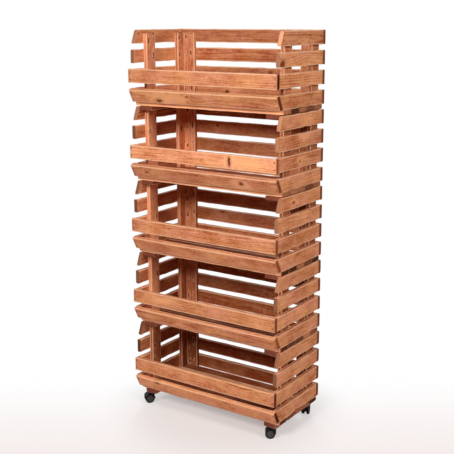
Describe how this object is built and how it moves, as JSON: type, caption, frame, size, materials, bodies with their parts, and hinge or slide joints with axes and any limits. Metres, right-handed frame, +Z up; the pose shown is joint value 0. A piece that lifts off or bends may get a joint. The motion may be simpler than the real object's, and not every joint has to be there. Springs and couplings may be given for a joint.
{
  "type": "vegetable rack",
  "caption": "Tall open-fronted vegetable rack of stacked slatted pine crates with a tilted lower front slat on each, standing on swivel castors.",
  "frame": {"origin": "on the floor, under the middle of the rack's length and depth", "axes": "+X to the right seen from the front, +Y to the back, +Z up"},
  "size_m": [0.6, 0.31, 1.375],
  "materials": {
    "side_slat_wood": "stained pine, matt",
    "back_slat_wood": "stained pine, matt",
    "front_slat_wood": "stained pine, matt",
    "post_wood": "stained pine, matt",
    "floor_slat_wood": "stained pine, matt",
    "cleat_wood": "stained pine, matt",
    "nail_steel": "dull steel",
    "castor_plastic": "moulded black",
    "wheel_plastic": "moulded black",
    "castor_steel": "zinc plated"
  },
  "bodies": {
    "crate_1": {"crate_1_left_side_slats": "side_slat_wood", "crate_1_right_side_slats": "side_slat_wood", "crate_1_back_slats": "back_slat_wood", "crate_1_upper_front_slat": "front_slat_wood", "crate_1_lower_front_slat": "front_slat_wood", "crate_1_posts": "post_wood", "crate_1_floor_slats": "floor_slat_wood", "crate_1_cleats": "cleat_wood", "crate_1_nails": "nail_steel", "castor_plates": "castor_steel", "castor_kingpins": "castor_steel", "castor_screws": "castor_steel"},
    "crate_2": {"crate_2_left_side_slats": "side_slat_wood", "crate_2_right_side_slats": "side_slat_wood", "crate_2_back_slats": "back_slat_wood", "crate_2_upper_front_slat": "front_slat_wood", "crate_2_lower_front_slat": "front_slat_wood", "crate_2_posts": "post_wood", "crate_2_floor_slats": "floor_slat_wood", "crate_2_cleats": "cleat_wood", "crate_2_nails": "nail_steel"},
    "crate_3": {"crate_3_left_side_slats": "side_slat_wood", "crate_3_right_side_slats": "side_slat_wood", "crate_3_back_slats": "back_slat_wood", "crate_3_upper_front_slat": "front_slat_wood", "crate_3_lower_front_slat": "front_slat_wood", "crate_3_posts": "post_wood", "crate_3_floor_slats": "floor_slat_wood", "crate_3_cleats": "cleat_wood", "crate_3_nails": "nail_steel"},
    "crate_4": {"crate_4_left_side_slats": "side_slat_wood", "crate_4_right_side_slats": "side_slat_wood", "crate_4_back_slats": "back_slat_wood", "crate_4_upper_front_slat": "front_slat_wood", "crate_4_lower_front_slat": "front_slat_wood", "crate_4_posts": "post_wood", "crate_4_floor_slats": "floor_slat_wood", "crate_4_cleats": "cleat_wood", "crate_4_nails": "nail_steel"},
    "crate_5": {"crate_5_left_side_slats": "side_slat_wood", "crate_5_right_side_slats": "side_slat_wood", "crate_5_back_slats": "back_slat_wood", "crate_5_upper_front_slat": "front_slat_wood", "crate_5_lower_front_slat": "front_slat_wood", "crate_5_posts": "post_wood", "crate_5_floor_slats": "floor_slat_wood", "crate_5_cleats": "cleat_wood", "crate_5_nails": "nail_steel"},
    "castor_front_left_swivel": {"castor_front_left_housing": "castor_plastic"},
    "castor_front_left_wheelset": {"castor_front_left_wheels": "wheel_plastic", "castor_front_left_axle": "castor_steel"},
    "castor_front_right_swivel": {"castor_front_right_housing": "castor_plastic"},
    "castor_front_right_wheelset": {"castor_front_right_wheels": "wheel_plastic", "castor_front_right_axle": "castor_steel"},
    "castor_rear_left_swivel": {"castor_rear_left_housing": "castor_plastic"},
    "castor_rear_left_wheelset": {"castor_rear_left_wheels": "wheel_plastic", "castor_rear_left_axle": "castor_steel"},
    "castor_rear_right_swivel": {"castor_rear_right_housing": "castor_plastic"},
    "castor_rear_right_wheelset": {"castor_rear_right_wheels": "wheel_plastic", "castor_rear_right_axle": "castor_steel"}
  },
  "joints": [
    {"name": "crate_2_lift", "type": "slide", "parent": "crate_1", "child": "crate_2", "axis": [0, 0, 1], "range_m": [0, 0.1]},
    {"name": "crate_3_lift", "type": "slide", "parent": "crate_2", "child": "crate_3", "axis": [0, 0, 1], "range_m": [0, 0.1]},
    {"name": "crate_4_lift", "type": "slide", "parent": "crate_3", "child": "crate_4", "axis": [0, 0, 1], "range_m": [0, 0.1]},
    {"name": "crate_5_lift", "type": "slide", "parent": "crate_4", "child": "crate_5", "axis": [0, 0, 1], "range_m": [0, 0.1]},
    {"name": "castor_front_left_swivel", "type": "hinge", "parent": "crate_1", "child": "castor_front_left_swivel", "pos_m": [-0.267, -0.09708, 0.036], "axis": [0, 0, 1], "continuous": true},
    {"name": "castor_front_left_roll", "type": "hinge", "parent": "castor_front_left_swivel", "child": "castor_front_left_wheelset", "pos_m": [-0.27512, -0.10786, 0.0175], "axis": [0.7986, -0.6018, 0], "continuous": true},
    {"name": "castor_front_right_swivel", "type": "hinge", "parent": "crate_1", "child": "castor_front_right_swivel", "pos_m": [0.267, -0.09708, 0.036], "axis": [0, 0, 1], "continuous": true},
    {"name": "castor_front_right_roll", "type": "hinge", "parent": "castor_front_right_swivel", "child": "castor_front_right_wheelset", "pos_m": [0.25543, -0.10403, 0.0175], "axis": [0.515, -0.8572, 0], "continuous": true},
    {"name": "castor_rear_left_swivel", "type": "hinge", "parent": "crate_1", "child": "castor_rear_left_swivel", "pos_m": [-0.267, 0.119, 0.036], "axis": [0, 0, 1], "continuous": true},
    {"name": "castor_rear_left_roll", "type": "hinge", "parent": "castor_rear_left_swivel", "child": "castor_rear_left_wheelset", "pos_m": [-0.26066, 0.13092, 0.0175], "axis": [-0.8829, 0.4695, 0], "continuous": true},
    {"name": "castor_rear_right_swivel", "type": "hinge", "parent": "crate_1", "child": "castor_rear_right_swivel", "pos_m": [0.267, 0.119, 0.036], "axis": [0, 0, 1], "continuous": true},
    {"name": "castor_rear_right_roll", "type": "hinge", "parent": "castor_rear_right_swivel", "child": "castor_rear_right_wheelset", "pos_m": [0.26305, 0.13191, 0.0175], "axis": [-0.9563, -0.2924, 0], "continuous": true}
  ]
}
